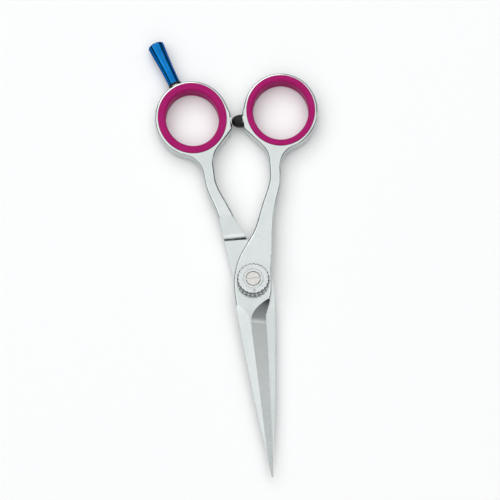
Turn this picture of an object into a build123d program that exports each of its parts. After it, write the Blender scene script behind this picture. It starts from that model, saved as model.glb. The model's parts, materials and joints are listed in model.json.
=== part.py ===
"""Hair cutting shears, 6.0 inch, with a screw-in finger rest and a click-dial pivot.

Frame: millimetres, +Z up along the pivot axis. The origin is on the pivot axis, on the surface that
the closed shears lie on. The tips point along -Y and the finger rings along +Y. The thumb ring is on
the +X side and the finger ring, with the finger rest, on the -X side.

Both halves are the same forging turned half a turn about the Y direction: each one is modelled as the
upper half with the ride plane at Z = 0, and then placed.
"""

from build123d import *
from math import acos, cos, degrees, radians, sin
import os

# ---- driving dimensions ----------------------------------------------------------------------
OVERALL = 152.4  # tip to the end of the finger rings, the trade's 6.0 inch
TIP = 72.4  # pivot axis to the tip
RIDE_Z = 3.2  # height of the plane that the two blades share
RIDE_GAP = 0.05  # each blade's inner face stands this far from that plane
BLADE_TOP = 2.9  # thickness of a half at the pivot, from the ride plane
TIP_TOP = 1.0  # the same at the tip
HANDLE_HALF = 2.6  # half the thickness of shank and ring
EDGE_ROUND = 0.85  # rounding along the shank and ring
LAP_END = 17.0  # past this Y a shank fills both layers
LAP_RAMP = 9.0  # length of the scooped ramp from the lap up to the full handle

RING_X = 16.35  # ring centre from the shears' centre line
RING_SHORT = 13.75  # ring's outer half-width
RING_LONG = 14.95  # ring's outer half-length
RING_LEAN = 6.0  # how far the ring's long axis leans outward, degrees
RING_WALL = 2.0  # ring's metal, bore to outside
RING_Y = OVERALL - TIP - RING_LONG * 0.997  # the lean takes a little off the ring's reach

LIP = 0.95  # how far the insert's lip covers the ring's face
LIP_THICK = 0.6  # lip's thickness
FINGER_WALL = 2.0  # thickness of the soft insert inside the finger ring
THUMB_WALL = 1.5  # and inside the thumb ring
MOUTH_ROUND = 1.15  # rounding of the insert's inner edges

FACE_X = 2.1  # stop faces of the rings from the centre line
BUMPER_Y = 63.2  # centre of the bumper
BUMPER_R = 2.4
BUMPER_STEM_R = 1.0
BUMPER_STEM = 1.8
BUMPER_GAP = 0.12  # left between the bumper's nose and the finger ring

REST_ANGLE = 109.5  # finger rest's direction from +X, out from the finger ring's centre
REST_SEAT = 14.95  # seat of the finger rest from that centre
REST_LENGTH = 17.3
REST_BASE_R = 2.15
REST_END_R = 3.05
REST_WASHER = 0.9  # thickness of the washer under the finger rest
REST_WASHER_R = 2.45
STUD_R = 1.25  # M2.5 stud of the finger rest
STUD_LENGTH = 2.8

EDGE_ANGLE = 26.0  # outer grind on the cutting side
SPINE_ANGLE = 17.0  # outer grind on the spine side
SPINE_HEEL = 1.6  # spine's thickness at the heel
SPINE_TIP = 0.8  # and at the tip
EDGE_LAND = 0.1  # cutting edge's own thickness
EDGE_WHEEL_R = 14.0  # run-out radius of the grind on the cutting side
SPINE_WHEEL_R = 26.0  # and on the spine side
HOLLOW_R = 40.0  # radius of the hollow grind on the inner face
HOLLOW_DEPTH = 0.18

JOURNAL_R = 2.5  # pivot post's bearing
NECK_R = 2.9  # keyed part of the post in the lower half
NECK_FLAT = 2.3
HEAD_R = 4.6
HEAD_TOP = 1.2
THREAD_R = 2.0  # M4 end of the post
THREAD_FLAT = 1.6
POST_TOP = 8.4
BUSH_R = 3.5
WASHER_R = 6.0  # slip washer between the halves
WASHER_RECESS = 0.23
DIAL_RECESS_R = 5.6
DIAL_RECESS = 0.9  # depth of the dial's recess in the upper half
DIAL_R = 5.9
DIAL_BASE = 6.45
DIAL_TOP = 9.0
DIAL_WELL = 8.15  # floor of the well for the retaining screw
DIAL_WELL_R = 2.75
DIAL_GROOVES = 24
GROOVE_R = 0.42
SKIRT_R = 5.28  # inside of the dial's skirt, around the click plate
SKIRT_BASE = 5.95
DETENT_R = 3.7  # circle that the detent balls run on
DETENTS = 3
NOTCHES = 12
BALL_R = 0.5
BALL_Z = 6.67
SLIP = 0.03  # running clearance on a radius

BLOCK = 60.0  # more than any cut needs
FROM_BASE = (Align.CENTER, Align.CENTER, Align.MIN)
ring_centre = (RING_X, RING_Y)
ring_place = Location((RING_X, RING_Y, 0), (0, 0, -RING_LEAN))
os.makedirs("parts", exist_ok=True)


# ---- the two forged halves --------------------------------------------------------------------
def heel_and_edge():
    """The cutting edge in plan, from heel to tip."""
    return (3.4, -12.0), (0.35, -TIP + 0.3)


def half_plan():
    """Outline of one half in plan: blade, pivot, shank, ring and stop face, with the ring's bore."""
    heel, tip = heel_and_edge()
    spine_tip = (-0.35, -TIP + 0.3)
    neck_in, neck_out = (10.0, 41.5), (14.1, 40.5)
    inner_end, outer_end = (10.6, 58), (15.2, 58)
    with BuildSketch(Plane.XY.offset(-BLOCK / 2)) as plan:
        with BuildLine():
            spine = Spline(
                [spine_tip, (-3.0, -50), (-5.3, -28), (-7.0, -9), (-6.6, 3.5), (-3.2, 11.5), (1.3, 18),
                 (6.3, 30), neck_in],
                tangents=[(-0.09, 1), Vector(*inner_end) - Vector(*neck_in)],
            )
            Line(spine @ 1, inner_end)
            Line(inner_end, outer_end)
            outer = Line(outer_end, neck_out)
            Spline([neck_out, (11.4, 30), (8.7, 15), (7.1, 3), (5.7, -6.5), heel],
                   tangents=[outer % 1, (-0.5, -1)])
            ThreePointArc(heel, (2.15, -42), tip)
            ThreePointArc(tip, (0, -TIP), spine_tip)
        make_face()
        with Locations(ring_place):
            Ellipse(RING_SHORT, RING_LONG)
        Polygon((FACE_X, 66), (FACE_X, 59.5), (12, 47.7), (14, 60), (5, 73), align=None)
        corners = ((14.7, 51, 8.5), (10.4, 49.6, 9), (FACE_X, 66, 5), (FACE_X, 59.5, 2.5), (2.9, 68, 8))
        for x, y, radius in corners:
            fillet(plan.vertices().sort_by_distance((x, y, -BLOCK / 2))[0], radius)
        with Locations(ring_place):
            Ellipse(RING_SHORT - RING_WALL, RING_LONG - RING_WALL, mode=Mode.SUBTRACT)
    return plan


def half_side():
    """Side view of one half, +Y to the right: thin blade, raised pivot, full-thickness handle."""
    root = LAP_END - 6
    with BuildSketch(Plane.YZ.offset(-BLOCK)) as side:
        with BuildLine():
            tip_low, tip_high = (-TIP - 1, RIDE_GAP), (-TIP - 1, TIP_TOP)
            Line(tip_low, tip_high)
            top = Line(tip_high, (-12, BLADE_TOP))
            flat = Line(top @ 1, (12, BLADE_TOP))
            fall = Spline([flat @ 1, (34, HANDLE_HALF)], tangents=[(1, 0), (1, 0)])
            Polyline(fall @ 1, (90, HANDLE_HALF), (90, -HANDLE_HALF), (root, -HANDLE_HALF), (root, RIDE_GAP),
                     tip_low)
        make_face()
    return side


def lap():
    """Side view of what is cut away under the blade, with the curved step up to the handle."""
    with BuildSketch(Plane.YZ.offset(-BLOCK)) as tool:
        with BuildLine():
            start = (LAP_END, RIDE_GAP)
            step = Spline([start, (LAP_END + LAP_RAMP, -HANDLE_HALF)], tangents=[(0.35, -1), (1, -0.25)])
            Polyline(step @ 1, (LAP_END + LAP_RAMP, -5), (-10, -5), (-10, RIDE_GAP), start)
        make_face()
    return tool


def grind(start, end, angle, toward_spine, run_out, wheel_r):
    """Tool of one flat outer grind: everything above a plane that rises at angle from the line
    start-end, with a concave run-out of the wheel's radius that begins run_out past the start."""
    a, b = Vector(*start), Vector(*end)
    along = (b - a).normalized()
    across = Vector(toward_spine, 0, 0)
    across = (across - along * across.dot(along)).normalized()
    rise = across * cos(radians(angle)) + Vector(0, 0, 1) * sin(radians(angle))
    up = rise.cross(along).normalized()
    up = up if up.Z > 0 else up * -1
    height = 6.0
    swing = degrees(acos((wheel_r - height) / wheel_r))
    with BuildPart() as tool:
        with BuildSketch(Plane(origin=a, x_dir=along, z_dir=along.cross(up)).offset(-BLOCK / 2)):
            with BuildLine():
                wheel = CenterArc((run_out, wheel_r), wheel_r, 270, -swing)
                Polyline(wheel @ 0, (TIP, 0), (TIP, height), wheel @ 1)
            make_face()
        extrude(amount=BLOCK)
    return tool.part


def is_handle_rim(edge):
    """True for the outer rims of shank, ring and pivot, which are rounded. The bore, upright corners
    and the smooth joins that run straight across are left out."""
    middle, tangent = edge @ 0.5, edge % 0.5
    on_skin = abs(middle.Z) > HANDLE_HALF - 0.01
    outside_bore = (middle - Vector(*ring_centre, middle.Z)).length > RING_SHORT - 0.5
    return on_skin and outside_bore and middle.Y > -6 and abs(tangent.X) < 0.9999


def half_blank():
    """The forging before its holes, as the upper half with the ride plane at Z = 0."""
    plan, side, step = half_plan(), half_side(), lap()
    heel, tip = heel_and_edge()
    edge_z = RIDE_GAP + EDGE_LAND
    with BuildPart() as half:
        extrude(plan.sketch, amount=BLOCK)
        extrude(side.sketch, amount=2 * BLOCK, mode=Mode.INTERSECT)
        fillet(half.edges().filter_by(is_handle_rim).group_by(Axis.Z)[0], EDGE_ROUND)
        extrude(step.sketch, amount=2 * BLOCK, mode=Mode.SUBTRACT)
        add(grind((*heel, edge_z), (*tip, edge_z), EDGE_ANGLE, -1, 3.7, EDGE_WHEEL_R), mode=Mode.SUBTRACT)
        add(grind((-7.1, -12, SPINE_HEEL), (-0.45, -TIP, SPINE_TIP), SPINE_ANGLE, 1, 3.0, SPINE_WHEEL_R),
            mode=Mode.SUBTRACT)
        fillet(half.edges().filter_by(is_handle_rim).filter_by(lambda edge: (edge @ 0.5).Z > 0), EDGE_ROUND)
    return half


def hollow_grind():
    """Long cylinder that dishes the inner face of a blade and fades out toward the tip."""
    start = Vector(-1.7, -11, RIDE_GAP + HOLLOW_DEPTH - HOLLOW_R)
    end = Vector(-0.2, -TIP, RIDE_GAP - 0.02 - HOLLOW_R)
    with BuildPart() as tool:
        with Locations(Plane(origin=start, x_dir=(0, 0, -1), z_dir=end - start)):
            Cylinder(HOLLOW_R, TIP, align=FROM_BASE)
    return tool.part


def along(origin, direction):
    """Plane for the profile of a turned piece: its y runs along a level axis, its x is the radius."""
    direction = Vector(*direction)
    return Plane(origin=origin, x_dir=(0, 0, 1), z_dir=Vector(0, 0, 1).cross(direction))


def upright(radius, low, high, mode=Mode.ADD):
    """Round disc or drilling on the pivot axis between two heights."""
    with Locations((0, 0, low)):
        Cylinder(radius, high - low, align=FROM_BASE, mode=mode)


def double_d(radius, flat):
    """Round section with two flats."""
    Circle(radius)
    Rectangle(2 * radius, 2 * flat, mode=Mode.INTERSECT)


def stop_boss(side):
    """Round pad on the ring's inner side that carries or meets the bumper."""
    with Locations(Plane(origin=(side * FACE_X, BUMPER_Y, RIDE_Z), z_dir=(side, 0, 0))):
        Cylinder(BUMPER_R + 0.1, 1.9, align=FROM_BASE)


def rest_axis():
    """Centre of the finger ring and the direction in which the finger rest points."""
    return Vector(-RING_X, RING_Y, RIDE_Z), Vector(cos(radians(REST_ANGLE)), sin(radians(REST_ANGLE)), 0)


def make_thumb_blade(blank):
    """Upper half: bush bore, washer and dial recesses, and the bumper's hole."""
    with BuildPart() as thumb_blade:
        add(blank.moved(Location((0, 0, RIDE_Z))))
        stop_boss(1)
        upright(BUSH_R, 2, 7, Mode.SUBTRACT)
        upright(WASHER_R + 0.1, 2, RIDE_Z + RIDE_GAP + WASHER_RECESS, Mode.SUBTRACT)
        upright(DIAL_RECESS_R, RIDE_Z + BLADE_TOP - DIAL_RECESS, 7, Mode.SUBTRACT)
        with Locations(Plane(origin=(FACE_X, BUMPER_Y, RIDE_Z), z_dir=(1, 0, 0))):
            Cylinder(BUMPER_STEM_R, BUMPER_STEM + 0.2, align=FROM_BASE, mode=Mode.SUBTRACT)
    return thumb_blade


def make_finger_blade(blank):
    """Lower half, turned over: keyed hole and counterbore for the post, seat for the finger rest."""
    centre, out = rest_axis()
    with BuildPart() as finger_blade:
        add(blank.moved(Location((0, 0, RIDE_Z), (0, 180, 0))))
        stop_boss(-1)
        with Locations(Plane(origin=centre + out * 12.95, z_dir=out)):
            Cylinder(2.35, REST_SEAT - 12.95, align=FROM_BASE)
        with Locations(Plane(origin=centre + out * 12, z_dir=out)):
            Cylinder(STUD_R, 5, align=FROM_BASE, mode=Mode.SUBTRACT)
        upright(HEAD_R + 0.1, -1, HEAD_TOP, Mode.SUBTRACT)
        upright(WASHER_R + 0.1, RIDE_Z - RIDE_GAP - WASHER_RECESS, 5, Mode.SUBTRACT)
        with BuildSketch(Plane.XY):
            double_d(NECK_R + SLIP, NECK_FLAT + SLIP)
        extrude(amount=4, mode=Mode.SUBTRACT)
    return finger_blade


# ---- pivot ------------------------------------------------------------------------------------
def make_post():
    """Post pressed into the lower half: flat head, keyed neck, journal and flatted thread end."""
    with BuildPart() as pivot_post:
        upright(HEAD_R, 0, HEAD_TOP)
        chamfer(pivot_post.edges().group_by(Axis.Z)[0], 0.3)
        with BuildSketch(Plane.XY.offset(HEAD_TOP)):
            double_d(NECK_R, NECK_FLAT)
        extrude(amount=2.9 - HEAD_TOP)
        upright(JOURNAL_R, 2.9, 5.3)
        with BuildSketch(Plane.XY.offset(5.3)):
            double_d(THREAD_R, THREAD_FLAT)
        extrude(amount=POST_TOP - 5.3)
        upright(1.0, 5.6, POST_TOP, Mode.SUBTRACT)
    return pivot_post


def make_ring_part(inner, outer, low, high):
    """Plain flat ring on the pivot axis."""
    with BuildPart() as ring:
        upright(outer, low, high)
        upright(inner, low, high, Mode.SUBTRACT)
    return ring


def make_disc_spring():
    """Coned spring washer under the click plate."""
    with BuildPart() as disc_spring:
        with BuildSketch(Plane.XZ):
            Polygon((5.2, 5.21), (5.17, 5.41), (2.68, 5.74), (2.65, 5.54), align=None)
        revolve(axis=Axis.Z)
    return disc_spring


def make_click_plate():
    """Keyed plate with the ring of notches that the dial's balls drop into."""
    with BuildPart() as click_plate:
        with BuildSketch(Plane.XY.offset(5.75)):
            Circle(5.2)
            with BuildSketch(mode=Mode.SUBTRACT):
                double_d(THREAD_R + SLIP, THREAD_FLAT + SLIP)
        extrude(amount=0.6)
        with Locations((0, 0, BALL_Z)):
            Torus(DETENT_R, BALL_R + 0.02, mode=Mode.SUBTRACT)
            with PolarLocations(DETENT_R, NOTCHES):
                Sphere(BALL_R + 0.06, mode=Mode.SUBTRACT)
    return click_plate


def detent_place(number):
    """Centre of one detent, at ball height."""
    angle = radians(90 + 360 / DETENTS * number)
    return Vector(DETENT_R * cos(angle), DETENT_R * sin(angle), BALL_Z)


def make_ball(number):
    """Detent ball."""
    with BuildPart() as ball:
        with Locations(detent_place(number)):
            Sphere(BALL_R)
    return ball


def make_spring(number):
    """Small coil spring that presses a detent ball down."""
    place = detent_place(number)
    with BuildPart() as spring:
        with BuildLine():
            coil = Helix(pitch=0.19, height=0.76, radius=0.36, center=(place.X, place.Y, 7.245))
        with BuildSketch(Plane(origin=coil @ 0, z_dir=coil % 0)):
            Circle(0.07)
        sweep(is_frenet=True)
    return spring


def make_dial():
    """Tension dial: grooved rim, threaded bore, screw well, skirt and the three detent pockets."""
    with BuildPart() as tension_dial:
        upright(DIAL_R, DIAL_BASE, DIAL_TOP)
        with BuildSketch(Plane.XY.offset(DIAL_BASE)):
            with PolarLocations(DIAL_R + 0.12, DIAL_GROOVES):
                Circle(GROOVE_R)
        extrude(amount=DIAL_TOP - DIAL_BASE, mode=Mode.SUBTRACT)
        chamfer(tension_dial.edges().group_by(Axis.Z)[-1], 0.35)
        with BuildSketch(Plane.XY.offset(SKIRT_BASE)):
            Circle(DIAL_RECESS_R - 0.1)
            Circle(SKIRT_R, mode=Mode.SUBTRACT)
        extrude(amount=DIAL_BASE - SKIRT_BASE)
        upright(THREAD_R + 0.04, DIAL_BASE, DIAL_TOP, Mode.SUBTRACT)
        upright(DIAL_WELL_R, DIAL_WELL, DIAL_TOP, Mode.SUBTRACT)
        well_rim = tension_dial.edges().filter_by(GeomType.CIRCLE).group_by(Axis.Z)[-1]
        chamfer(well_rim.sort_by(SortBy.RADIUS)[0], 0.25)
        for number in range(DETENTS):
            place = detent_place(number)
            with Locations((place.X, place.Y, DIAL_BASE)):
                Cylinder(BALL_R + 0.05, 1.65, align=FROM_BASE, mode=Mode.SUBTRACT)
        with Locations((0, 0, DIAL_TOP)):
            Torus(3.6, 0.2, mode=Mode.SUBTRACT)
        with Locations((0, -4.55, DIAL_TOP)):
            Sphere(0.45, mode=Mode.SUBTRACT)
    return tension_dial


def make_screw():
    """Slotted retaining screw in the end of the post."""
    with BuildPart() as retaining_screw:
        upright(2.6, POST_TOP, POST_TOP + 0.75)
        fillet(retaining_screw.edges().group_by(Axis.Z)[-1], 0.25)
        upright(0.99, 6.6, POST_TOP)
        with Locations((0, 0, POST_TOP + 0.75)):
            Box(6, 0.6, 0.7, mode=Mode.SUBTRACT)
    return retaining_screw


# ---- handle fittings --------------------------------------------------------------------------
def make_insert(side, wall):
    """Soft sizing insert with a lip over each face of the ring."""
    place = Location((side * RING_X, RING_Y, 0), (0, 0, -side * RING_LEAN))
    short, long = RING_SHORT - RING_WALL, RING_LONG - RING_WALL
    half_height = HANDLE_HALF + LIP_THICK
    with BuildPart() as insert:
        with BuildSketch(Plane.XY.offset(RIDE_Z - half_height)):
            with Locations(place):
                Ellipse(short + LIP, long + LIP)
        extrude(amount=2 * half_height)
        with BuildSketch(Plane.XY.offset(RIDE_Z - HANDLE_HALF)):
            with Locations(place):
                Ellipse(short + LIP + 1, long + LIP + 1)
                Ellipse(short - 0.02, long - 0.02, mode=Mode.SUBTRACT)
        extrude(amount=2 * HANDLE_HALF, mode=Mode.SUBTRACT)
        skin = insert.edges().group_by(Axis.Z)
        fillet(skin[0] + skin[-1], 0.4)
        with BuildSketch(Plane.XY.offset(RIDE_Z - half_height)):
            with Locations(place):
                Ellipse(short - wall, long - wall)
        extrude(amount=2 * half_height, mode=Mode.SUBTRACT)
        mouth = insert.edges().group_by(Axis.Z)
        fillet(mouth[0].sort_by(SortBy.LENGTH)[0], MOUTH_ROUND)
        fillet(insert.edges().group_by(Axis.Z)[-1].sort_by(SortBy.LENGTH)[0], MOUTH_ROUND)
    return insert


def make_bumper():
    """Domed rubber bumper with its stem in the thumb ring's boss."""
    base = Vector(FACE_X, BUMPER_Y, RIDE_Z)
    toward = Vector(-1, 0, 0)
    height = 2 * FACE_X - BUMPER_GAP
    with BuildPart() as bumper:
        with BuildSketch(along(base, toward)):
            with BuildLine():
                Polyline((0, height), (0, -BUMPER_STEM), (BUMPER_STEM_R - 0.01, -BUMPER_STEM),
                         (BUMPER_STEM_R - 0.01, 0), (BUMPER_R, 0), (BUMPER_R, 0.9))
                Spline([(BUMPER_R, 0.9), (1.75, 3.1), (0, height)], tangents=[(0, 1), (-1, 0)])
            make_face()
        revolve(axis=Axis(base, toward))
    return bumper


def make_finger_rest():
    """Flared screw-in finger rest with a rounded end."""
    centre, out = rest_axis()
    root = REST_SEAT + REST_WASHER
    end = root + REST_LENGTH
    with BuildPart() as finger_rest:
        with BuildSketch(along(centre, out)):
            with BuildLine():
                Polyline((0, end), (0, root - STUD_LENGTH), (STUD_R - SLIP, root - STUD_LENGTH),
                         (STUD_R - SLIP, root), (REST_BASE_R, root))
                flare = Spline([(REST_BASE_R, root), (2.3, root + 6), (REST_END_R, end)],
                               tangents=[(0.02, 1), (0.08, 1)])
                Line(flare @ 1, (0, end))
            make_face()
        revolve(axis=Axis(centre, out))
        fillet(finger_rest.edges().sort_by(lambda edge: (edge.center() - centre).length)[-1], 0.7)
    return finger_rest


def make_rest_washer():
    """Small rubber washer under the finger rest."""
    centre, out = rest_axis()
    hole = STUD_R + 0.05
    with BuildPart() as finger_rest_washer:
        with BuildSketch(along(centre, out)):
            with Locations(((REST_WASHER_R + hole) / 2, REST_SEAT + REST_WASHER / 2)):
                Rectangle(REST_WASHER_R - hole, REST_WASHER)
        revolve(axis=Axis(centre, out))
    return finger_rest_washer


# ---- all pieces -------------------------------------------------------------------------------
def save(name, piece):
    """Write one piece to its own file under its own name."""
    piece.part.label = name
    export_step(piece.part, f"parts/{name}.step")


half = half_blank()
with BuildPart() as ground:
    add(half.part)
    add(hollow_grind(), mode=Mode.SUBTRACT)

save("thumb_blade", make_thumb_blade(ground.part))
save("finger_blade", make_finger_blade(ground.part))
save("pivot_post", make_post())
save("pivot_bush", make_ring_part(JOURNAL_R + 0.04, BUSH_R - 0.01, RIDE_Z + 0.28, RIDE_Z + 2.0))
save("slip_washer", make_ring_part(JOURNAL_R + 0.1, WASHER_R, RIDE_Z - 0.26, RIDE_Z + 0.26))
save("disc_spring", make_disc_spring())
save("click_plate", make_click_plate())
for number in range(DETENTS):
    save(f"detent_ball_{number + 1}", make_ball(number))
    save(f"detent_spring_{number + 1}", make_spring(number))
save("tension_dial", make_dial())
save("retaining_screw", make_screw())
save("finger_insert", make_insert(-1, FINGER_WALL))
save("thumb_insert", make_insert(1, THUMB_WALL))
save("bumper", make_bumper())
save("finger_rest", make_finger_rest())
save("finger_rest_washer", make_rest_washer())
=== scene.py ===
"""Looks for the hair cutting shears: materials, studio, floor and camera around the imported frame."""
import json
import math

import bpy
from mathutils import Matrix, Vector


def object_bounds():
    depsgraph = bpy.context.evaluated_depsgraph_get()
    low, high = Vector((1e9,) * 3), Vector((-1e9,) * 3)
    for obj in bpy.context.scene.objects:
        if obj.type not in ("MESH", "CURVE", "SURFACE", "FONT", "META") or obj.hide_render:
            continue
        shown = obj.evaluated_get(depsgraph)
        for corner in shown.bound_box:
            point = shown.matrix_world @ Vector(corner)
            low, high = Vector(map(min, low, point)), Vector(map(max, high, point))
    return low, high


BLADE_TOP_Y = -0.009  # where the handle's polish gives way to the blade's ground finish
BLADE_FADE = 0.003
REST_LEAN = 19.5  # the finger rest's axis from +Y, degrees
DIAL_GROOVE_SHADE = (0.00559, 0.00583)  # radii between which the dial's grooves get painted shade

CAMERA_AZIMUTH = -5.4  # degrees; 0 looks at the tips
CAMERA_ELEVATION = 71.0
CAMERA_DISTANCE = 1.0
CAMERA_MARGIN = 1.13  # frame height over the object's height

FLOOR_SIZE = 6.0  # metres
DOME_LEVELS = (  # height of the direction, 0 at the horizon and 1 overhead, and the dome's brightness there
    (0.0, 0.015), (0.3, 0.03), (0.45, 0.42), (0.58, 0.85),
    (0.74, 1.2), (0.86, 1.22), (0.95, 1.02), (1.0, 1.0),
)
DOME_RIGHT = (0.42, 0.66)  # the direction's X between which the dome falls off
DOME_STRENGTH = (1.2, 0.43)  # strength before and after that

MAGENTA = (0.37, 0.01, 0.135, 1)
# the next colour is painted shade for the insert's lower inner wall
MAGENTA_PAINTED_SHADE = (0.24, 0.0, 0.085, 1)
BLUE = (0.008, 0.17, 0.46, 1)
BLUE_DEEP = (0.002, 0.05, 0.22, 1)
STEEL = (0.53, 0.57, 0.56, 1)
STEEL_WARM = (0.6, 0.585, 0.56, 1)


# ---- node helpers -----------------------------------------------------------------------------
class Graph:
    """A material's node tree with short calls for the nodes used here."""

    def __init__(self, name, **shader):
        self.material = bpy.data.materials.new(name)
        self.material.use_nodes = True
        self.tree = self.material.node_tree
        self.shader = self.tree.nodes["Principled BSDF"]
        self.place = self.tree.nodes.new("ShaderNodeTexCoord").outputs["Object"]
        for socket, value in shader.items():
            self.shader.inputs[socket.replace("_", " ")].default_value = value

    def node(self, kind, **settings):
        node = self.tree.nodes.new(kind)
        for key, value in settings.items():
            setattr(node, key, value)
        return node

    def feed(self, socket, source):
        """Links an output into a socket, or sets the socket to a plain value."""
        if isinstance(source, bpy.types.NodeSocket):
            self.tree.links.new(source, socket)
        else:
            socket.default_value = source

    def math(self, operation, first, second=0.0, clamp=False):
        node = self.node("ShaderNodeMath", operation=operation, use_clamp=clamp)
        self.feed(node.inputs[0], first)
        self.feed(node.inputs[1], second)
        return node.outputs[0]

    def scaled(self, factors, turn=0.0):
        """Object coordinates times a factor per axis, with the axes first turned about Z by degrees."""
        node = self.node("ShaderNodeMapping", vector_type="TEXTURE")
        node.inputs["Rotation"].default_value = (0, 0, math.radians(turn))
        node.inputs["Scale"].default_value = tuple(1 / factor for factor in factors)
        self.feed(node.inputs["Vector"], self.place)
        return node.outputs[0]

    def noise(self, vector, scale, detail=3.0, roughness=0.5, distortion=0.0):
        node = self.node("ShaderNodeTexNoise")
        self.feed(node.inputs["Vector"], vector)
        node.inputs["Scale"].default_value = scale
        node.inputs["Detail"].default_value = detail
        node.inputs["Roughness"].default_value = roughness
        node.inputs["Distortion"].default_value = distortion
        return node.outputs["Fac"]

    def remap(self, value, low, high, to_low, to_high, smooth=False):
        node = self.node("ShaderNodeMapRange")
        if smooth:
            node.interpolation_type = "SMOOTHSTEP"
        self.feed(node.inputs["Value"], value)
        for name, number in zip(("From Min", "From Max", "To Min", "To Max"), (low, high, to_low, to_high)):
            self.feed(node.inputs[name], number)
        return node.outputs["Result"]

    def mix(self, factor, first, second, color=True):
        node = self.node("ShaderNodeMix", data_type="RGBA" if color else "FLOAT")
        self.feed(node.inputs[0], factor)
        self.feed(node.inputs[6 if color else 2], first)
        self.feed(node.inputs[7 if color else 3], second)
        return node.outputs[2 if color else 0]

    def axis(self, name):
        node = self.node("ShaderNodeSeparateXYZ")
        self.feed(node.inputs[0], self.place)
        return node.outputs[name]

    def radius(self):
        """Distance from the pivot axis."""
        x, y = self.axis("X"), self.axis("Y")
        return self.math("SQRT", self.math("ADD", self.math("MULTIPLY", x, x), self.math("MULTIPLY", y, y)))

    def bump(self, height, distance, strength=1.0):
        node = self.node("ShaderNodeBump")
        node.inputs["Strength"].default_value = strength
        node.inputs["Distance"].default_value = distance
        self.feed(node.inputs["Height"], height)
        return node.outputs[0]

    def scratches(self, turn, density):
        """Sparse hairlines in one direction, 1 on a line and 0 between."""
        lines = self.noise(self.scaled((density, density * 0.012, density * 0.3), turn), 1.0, 2.0, 0.6, 0.4)
        return self.remap(lines, 0.66, 0.72, 0.0, 1.0)

    def shade(self, color=None, roughness=None, normal=None):
        for name, source in (("Base Color", color), ("Roughness", roughness), ("Normal", normal)):
            if source is not None:
                self.feed(self.shader.inputs[name], source)
        return self.material


# ---- materials --------------------------------------------------------------------------------
def blade_steel():
    """Mirror-polished handle that turns into the fine cross-ground finish of the blade."""
    g = Graph("blade_steel", Metallic=1.0, Specular_IOR_Level=0.5)
    blade = g.remap(g.axis("Y"), BLADE_TOP_Y - BLADE_FADE, BLADE_TOP_Y, 1.0, 0.0, smooth=True)
    smudge = g.noise(g.place, 95.0, 4.0, 0.6, 0.5)
    hairline = g.math("ADD", g.scratches(-24, 2600), g.scratches(51, 2100), clamp=True)
    polish_rough = g.math("ADD", g.remap(smudge, 0.35, 0.7, 0.085, 0.15), g.math("MULTIPLY", hairline, 0.16))
    grain = g.noise(g.scaled((110, 9500, 3000), 4), 1.0, 3.0, 0.7)
    ground_rough = g.remap(grain, 0.3, 0.7, 0.16, 0.3)
    tone = g.mix(g.remap(smudge, 0.3, 0.75, 0.0, 1.0), STEEL, (0.59, 0.62, 0.615, 1))
    tone = g.mix(g.math("MULTIPLY", blade, g.remap(grain, 0.3, 0.7, 0.0, 0.55)), tone, (0.43, 0.45, 0.45, 1))
    worn = g.math("MULTIPLY", hairline, g.remap(smudge, 0.4, 0.6, 0.05, 0.3))
    tone = g.mix(worn, tone, (0.36, 0.38, 0.38, 1))
    relief = g.math("MULTIPLY", hairline, -0.5)
    relief = g.math("ADD", relief, g.math("MULTIPLY", g.math("MULTIPLY", grain, blade), 1.0))
    return g.shade(
        tone,
        g.mix(blade, polish_rough, ground_rough, color=False),
        g.bump(relief, 0.000004, 0.6),
    )


def turned_steel(name, tint, rough_low, rough_high, pitch, groove_shade=None):
    """Steel with fine concentric tool marks about the pivot axis, and painted shade between two radii."""
    g = Graph(name, Metallic=1.0, Anisotropic=0.75)
    tangent = g.node("ShaderNodeTangent", direction_type="RADIAL", axis="Z")
    g.feed(g.shader.inputs["Tangent"], tangent.outputs[0])
    ring = g.math("SINE", g.math("MULTIPLY", g.radius(), 2 * math.pi / pitch))
    wobble = g.noise(g.place, 900.0, 3.0)
    marks = g.math("ADD", g.math("MULTIPLY", ring, 0.5), wobble)
    darker = tuple(channel * 0.78 for channel in tint[:3]) + (1,)
    tone = g.mix(g.remap(wobble, 0.35, 0.7, 0.0, 0.6), tint, darker)
    if groove_shade:
        start, end = groove_shade
        blur = (end - start) * 0.3
        inside = g.remap(g.radius(), start - blur, start, 0.0, 1.0)
        outside = g.remap(g.radius(), end - blur, end, 0.75, 0.0)
        # painted shade: the dial's grooves between the two radii are darkened, standing in for the shade
        # that falls in them
        tone = g.mix(g.math("MULTIPLY", inside, outside), tone, (0.12, 0.12, 0.115, 1))
    return g.shade(
        tone,
        g.remap(marks, 0.0, 1.1, rough_low, rough_high),
        g.bump(marks, 0.000006, 0.5),
    )


def fine_steel(name, tint, rough, grain_scale):
    """Plain hardened steel with an even fine grain."""
    g = Graph(name, Metallic=1.0)
    grain = g.noise(g.place, grain_scale, 4.0, 0.65)
    darker = tuple(channel * 0.7 for channel in tint[:3]) + (1,)
    return g.shade(
        g.mix(g.remap(grain, 0.3, 0.75, 0.0, 0.7), tint, darker),
        g.remap(grain, 0.3, 0.75, rough * 0.75, rough * 1.3),
        g.bump(grain, 0.000003, 0.5),
    )


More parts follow.
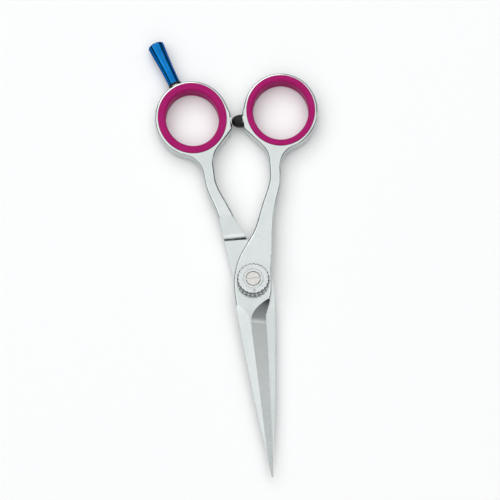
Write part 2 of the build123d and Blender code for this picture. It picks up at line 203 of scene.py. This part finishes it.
def silicone():
    """Translucent magenta silicone with a satin skin, faint moulding grain, a few specks of dust and painted
    shade on the lower inner wall.
    """
    g = Graph(
        "insert_silicone", IOR=1.28, Subsurface_Weight=0.35, Subsurface_Radius=(1.0, 0.12, 0.35),
        Subsurface_Scale=0.0022, Specular_IOR_Level=0.12,
    )
    cloud = g.noise(g.place, 140.0, 3.0, 0.5)
    grain = g.noise(g.place, 5200.0, 2.0, 0.6)
    dust = g.remap(g.noise(g.place, 2300.0, 1.0, 0.4), 0.76, 0.8, 0.0, 0.25)
    # painted shade: the inner wall is darkened towards its bottom, fully below 2.8 mm height
    wall_shade = g.remap(g.axis("Z"), 0.0028, 0.0062, 1.0, 0.0, smooth=True)
    tone = g.mix(g.math("MULTIPLY", wall_shade, 0.75), MAGENTA, MAGENTA_PAINTED_SHADE)
    tone = g.mix(g.remap(cloud, 0.35, 0.7, 0.0, 0.25), tone, (0.46, 0.025, 0.19, 1))
    tone = g.mix(dust, tone, (0.7, 0.45, 0.55, 1))
    return g.shade(
        tone,
        g.math("ADD", g.remap(cloud, 0.3, 0.7, 0.26, 0.38), g.math("MULTIPLY", grain, 0.06)),
        g.bump(grain, 0.00001, 0.35),
    )


def anodised_blue():
    """Glossy blue metal coat with faint long polishing lines along the rest and paler worn spots."""
    g = Graph("rest_blue", Metallic=1.0, Specular_Tint=(0.05, 0.07, 0.3, 1))
    lines = g.noise(g.scaled((5200, 260, 5200), REST_LEAN), 1.0, 3.0, 0.6)
    patch = g.noise(g.place, 260.0, 3.0, 0.55)
    tone = g.mix(g.remap(patch, 0.3, 0.75, 0.0, 0.6), BLUE, BLUE_DEEP)
    tone = g.mix(g.remap(lines, 0.62, 0.74, 0.0, 0.25), tone, (0.12, 0.42, 0.8, 1))
    return g.shade(tone, g.remap(lines, 0.3, 0.7, 0.12, 0.24), g.bump(lines, 0.000004, 0.4))


def black_rubber():
    """Satin black rubber with a fine moulded grain and greyer rubbed patches."""
    g = Graph("rubber_black", IOR=1.45, Specular_IOR_Level=0.3)
    grain = g.noise(g.place, 4200.0, 4.0, 0.7)
    rub = g.noise(g.place, 420.0, 3.0, 0.6)
    tone = g.mix(g.remap(rub, 0.5, 0.75, 0.0, 0.5), (0.005, 0.005, 0.005, 1), (0.022, 0.021, 0.021, 1))
    return g.shade(tone, g.remap(grain, 0.3, 0.7, 0.36, 0.55), g.bump(grain, 0.00003, 0.5))


def waxy_plastic():
    """Off-white low-friction plastic, slightly mottled."""
    g = Graph("slip_white", IOR=1.38, Subsurface_Weight=0.15, Subsurface_Scale=0.001)
    mottle = g.noise(g.place, 800.0, 4.0, 0.6)
    tone = g.mix(mottle, (0.88, 0.88, 0.86, 1), (0.74, 0.74, 0.71, 1))
    return g.shade(tone, g.remap(mottle, 0.3, 0.7, 0.42, 0.55), g.bump(mottle, 0.00001, 0.3))


def floor_material():
    """Matt pale paper with the faintest tooth."""
    g = Graph("floor_paper", Specular_IOR_Level=0.2)
    tooth = g.noise(g.place, 700.0, 4.0, 0.6)
    tone = g.mix(tooth, (0.92, 0.92, 0.92, 1), (0.94, 0.94, 0.94, 1))
    return g.shade(tone, 0.8, g.bump(tooth, 0.00002, 0.15))


def dress(frame):
    """Gives every CAD node its material by the record's slot."""
    slots = {part["node"]: part["material_slot"] for part in frame["record"]["subparts"]}
    finishes = {
        "blade_steel": blade_steel(),
        "post_steel": turned_steel("post_steel", STEEL, 0.14, 0.26, 0.00016),
        "dial_steel": turned_steel("dial_steel", (0.6, 0.62, 0.62, 1), 0.18, 0.3, 0.00022, DIAL_GROOVE_SHADE),
        "screw_steel": turned_steel("screw_steel", STEEL_WARM, 0.16, 0.3, 0.00014),
        "spring_steel": fine_steel("spring_steel", (0.45, 0.45, 0.46, 1), 0.28, 3200.0),
        "ball_steel": fine_steel("ball_steel", (0.75, 0.76, 0.76, 1), 0.06, 1800.0),
        "bush_bronze": turned_steel("bush_bronze", (0.58, 0.34, 0.13, 1), 0.2, 0.34, 0.0002),
        "slip_white": waxy_plastic(),
        "insert_silicone": silicone(),
        "rubber_black": black_rubber(),
        "rest_blue": anodised_blue(),
    }
    for name, node in frame["nodes"].items():
        for slot in node.material_slots:
            slot.material = finishes[slots[name]]


# ---- studio -----------------------------------------------------------------------------------
def aim(obj, target):
    obj.rotation_euler = (Vector(target) - obj.location).to_track_quat("-Z", "Y").to_euler()


def softbox(name, centre, offset, size, power):
    """Area light at an offset in metres from the centre, turned to face it."""
    light = bpy.data.lights.new(name, "AREA")
    light.shape = "RECTANGLE"
    light.size, light.size_y = size
    light.energy = power
    lamp = bpy.data.objects.new(name, light)
    bpy.context.scene.collection.objects.link(lamp)
    lamp.location = centre + Vector(offset)
    aim(lamp, centre)


def lay_floor(centre):
    """Plane far wider than any view, at the height that the shears lie on."""
    bpy.ops.mesh.primitive_plane_add(size=FLOOR_SIZE, location=(centre.x, centre.y, 0.0))
    floor = bpy.context.object
    floor.name = "floor"
    floor.data.materials.append(floor_material())


def light_dome():
    """World light that follows the direction's height, with a dark horizon and a darker right side."""
    world = bpy.data.worlds.new("studio_world")
    bpy.context.scene.world = world
    world.use_nodes = True
    tree = world.node_tree
    place = tree.nodes.new("ShaderNodeTexCoord")
    split = tree.nodes.new("ShaderNodeSeparateXYZ")
    ramp = tree.nodes.new("ShaderNodeValToRGB")
    while len(ramp.color_ramp.elements) < len(DOME_LEVELS):
        ramp.color_ramp.elements.new(0.5)
    for element, (position, level) in zip(ramp.color_ramp.elements, DOME_LEVELS):
        element.position = position
        element.color = (level * 0.99, level, level * 1.005, 1)
    card = tree.nodes.new("ShaderNodeMapRange")
    card.interpolation_type = "SMOOTHSTEP"
    for name, number in zip(("From Min", "From Max", "To Min", "To Max"), DOME_RIGHT + DOME_STRENGTH):
        card.inputs[name].default_value = number
    tree.links.new(place.outputs["Generated"], split.inputs[0])
    tree.links.new(split.outputs["Z"], ramp.inputs[0])
    tree.links.new(split.outputs["X"], card.inputs["Value"])
    tree.links.new(ramp.outputs["Color"], tree.nodes["Background"].inputs["Color"])
    tree.links.new(card.outputs["Result"], tree.nodes["Background"].inputs["Strength"])


def studio(centre):
    """Floor, a key softbox behind the rings, three long strips for the steel's highlights, and the dome."""
    lay_floor(centre)
    softbox("key_back", centre, (-0.35, 1.35, 1.0), (1.2, 0.5), 3.4)
    softbox("strip_front", centre, (-0.3, -1.3, 0.55), (1.6, 0.25), 1.2)
    softbox("strip_left", centre, (-1.2, 0.05, 0.9), (1.4, 0.16), 0.95)
    softbox("strip_right", centre, (1.3, 0.3, 0.9), (0.22, 1.4), 1.0)
    light_dome()


def set_camera(low, high):
    """Camera above the tips that takes in the whole object."""
    centre = (low + high) / 2
    azimuth, elevation = math.radians(CAMERA_AZIMUTH), math.radians(CAMERA_ELEVATION)
    away = Vector((
        math.sin(azimuth) * math.cos(elevation),
        -math.cos(azimuth) * math.cos(elevation),
        math.sin(elevation),
    ))
    lens = bpy.data.cameras.new("camera")
    camera = bpy.data.objects.new("camera", lens)
    bpy.context.scene.collection.objects.link(camera)
    camera.location = centre + away * CAMERA_DISTANCE
    aim(camera, centre)
    height = (high.y - low.y) * math.sin(elevation) * CAMERA_MARGIN
    lens.sensor_width = 36.0
    lens.lens = lens.sensor_width * CAMERA_DISTANCE / height
    lens.clip_start, lens.clip_end = 0.05, 20.0
    bpy.context.scene.camera = camera


# ---- scene ------------------------------------------------------------------------------------
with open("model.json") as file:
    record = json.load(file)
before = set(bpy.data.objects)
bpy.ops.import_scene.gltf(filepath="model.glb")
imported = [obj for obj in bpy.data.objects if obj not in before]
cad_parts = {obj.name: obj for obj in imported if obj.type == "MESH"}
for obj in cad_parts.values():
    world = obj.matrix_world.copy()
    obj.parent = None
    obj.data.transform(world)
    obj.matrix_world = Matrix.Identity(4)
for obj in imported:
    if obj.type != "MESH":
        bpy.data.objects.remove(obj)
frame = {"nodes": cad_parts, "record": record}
cad_box = [list(corner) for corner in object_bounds()]
dress(frame)
low, high = (Vector(corner) for corner in cad_box)
studio((low + high) / 2)
set_camera(low, high)
bpy.context.scene.view_settings.view_transform = "Standard"
